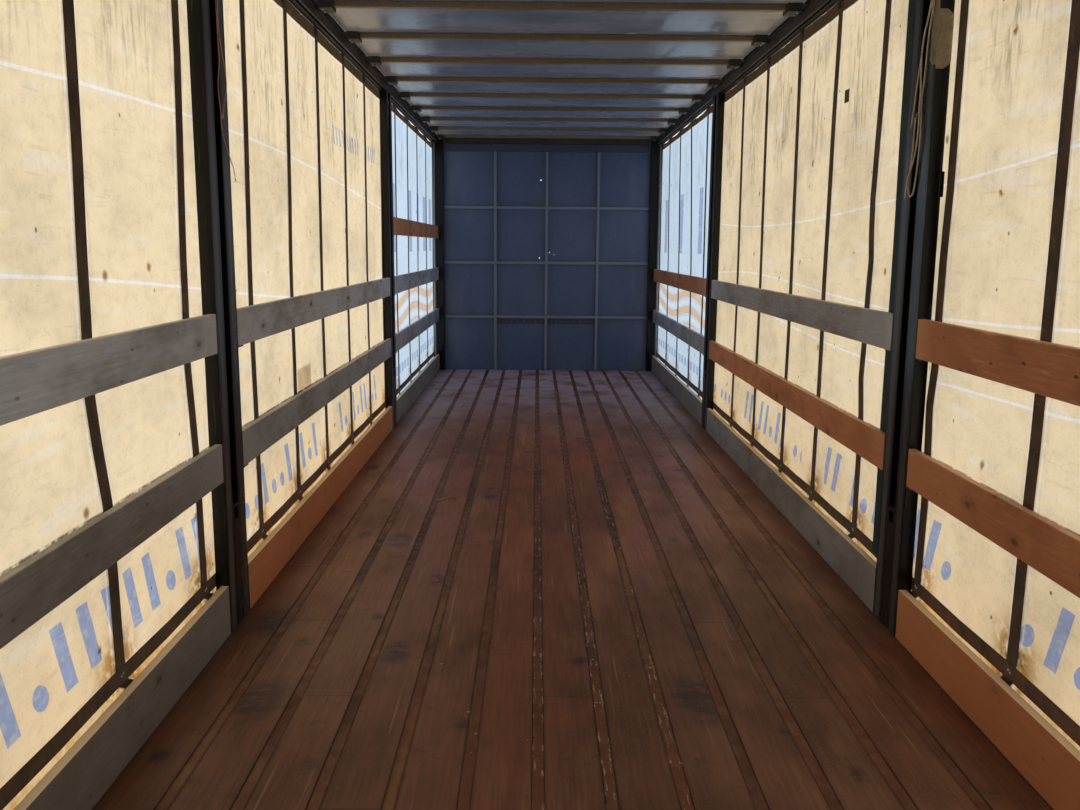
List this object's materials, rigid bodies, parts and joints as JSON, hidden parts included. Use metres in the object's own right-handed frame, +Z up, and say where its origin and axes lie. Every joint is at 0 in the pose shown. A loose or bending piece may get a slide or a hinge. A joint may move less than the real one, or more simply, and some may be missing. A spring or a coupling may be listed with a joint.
{
  "type": "curtain-side load body of a semi trailer",
  "caption": "Load body of a curtain-side semi trailer: boarded deck, headboard, sliding side posts with slats, translucent curtains, bowed roof cover and rear doors folded back along the sides.",
  "frame": {"origin": "on the ground under the middle of the whole body, with its rear doors folded back along the sides", "axes": "+Y to the headboard, +X to the right looking at the headboard, +Z up"},
  "size_m": [2.704, 13.783, 2.838],
  "materials": {
    "frame_steel": "dark satin paint, worn and dusty",
    "galvanised": "dull zinc",
    "deck_ply": "resin-faced boards, red-brown, worn matt",
    "strip_steel": "rusty, polished along its crests",
    "board_grey": "weathered grey softwood",
    "board_brown": "red-brown coated softwood",
    "head_paint": "dark slate blue paint, matt",
    "post_paint": "black paint, satin, dusty",
    "rail_paint": "dark, oily and dusty",
    "bow_metal": "tan, dusty",
    "carriage_plastic": "black",
    "curtain_cloth": "coated cream curtain cloth",
    "strap_webbing": "dark webbing",
    "cover_cloth": "grey coated cloth",
    "door_panel": "off-white paint",
    "seal_rubber": "black"
  },
  "bodies": {
    "load_body": {"bow_carriages": "carriage_plastic", "cant_rails": "rail_paint", "cross_members": "galvanised", "curtain_left": "curtain_cloth", "curtain_poles": "galvanised", "curtain_right": "curtain_cloth", "curtain_rollers": "carriage_plastic", "curtain_straps": "strap_webbing", "deck_boards": "deck_ply", "front_corner_posts": "post_paint", "front_header": "rail_paint", "front_sill": "frame_steel", "headboard_beam": "head_paint", "headboard_panel": "head_paint", "headboard_ribs": "head_paint", "hinge_lugs": "galvanised", "joint_strips": "strip_steel", "kickboards_brown": "board_brown", "kickboards_grey": "board_grey", "lashing_rail": "head_paint", "long_bearers": "frame_steel", "mounting_plates": "frame_steel", "post_carriages": "galvanised", "post_latches": "post_paint", "rear_corner_posts": "post_paint", "rear_header": "rail_paint", "rear_sill": "frame_steel", "roof_bows": "bow_metal", "roof_cover": "cover_cloth", "side_posts": "post_paint", "side_raves": "frame_steel", "slat_pockets": "post_paint", "slats_brown": "board_brown", "slats_grey": "board_grey", "strap_buckles": "galvanised"},
    "left_door": {"door_hinges_left": "galvanised", "door_left": "door_panel", "door_seals_left": "seal_rubber", "lock_rods_left": "galvanised", "rod_guides_left": "galvanised"},
    "right_door": {"door_hinges_right": "galvanised", "door_right": "door_panel", "door_seals_right": "seal_rubber", "lock_rods_right": "galvanised", "rod_guides_right": "galvanised"}
  },
  "joints": [
    {"name": "right_door_hinge", "type": "hinge", "parent": "load_body", "child": "right_door", "pos_m": [1.262, -6.8785, 1.4], "axis": [0, 0, 1], "range_deg": [-270, 0]},
    {"name": "left_door_hinge", "type": "hinge", "parent": "load_body", "child": "left_door", "pos_m": [-1.262, -6.8785, 1.4], "axis": [0, 0, -1], "range_deg": [-270, 0]}
  ]
}
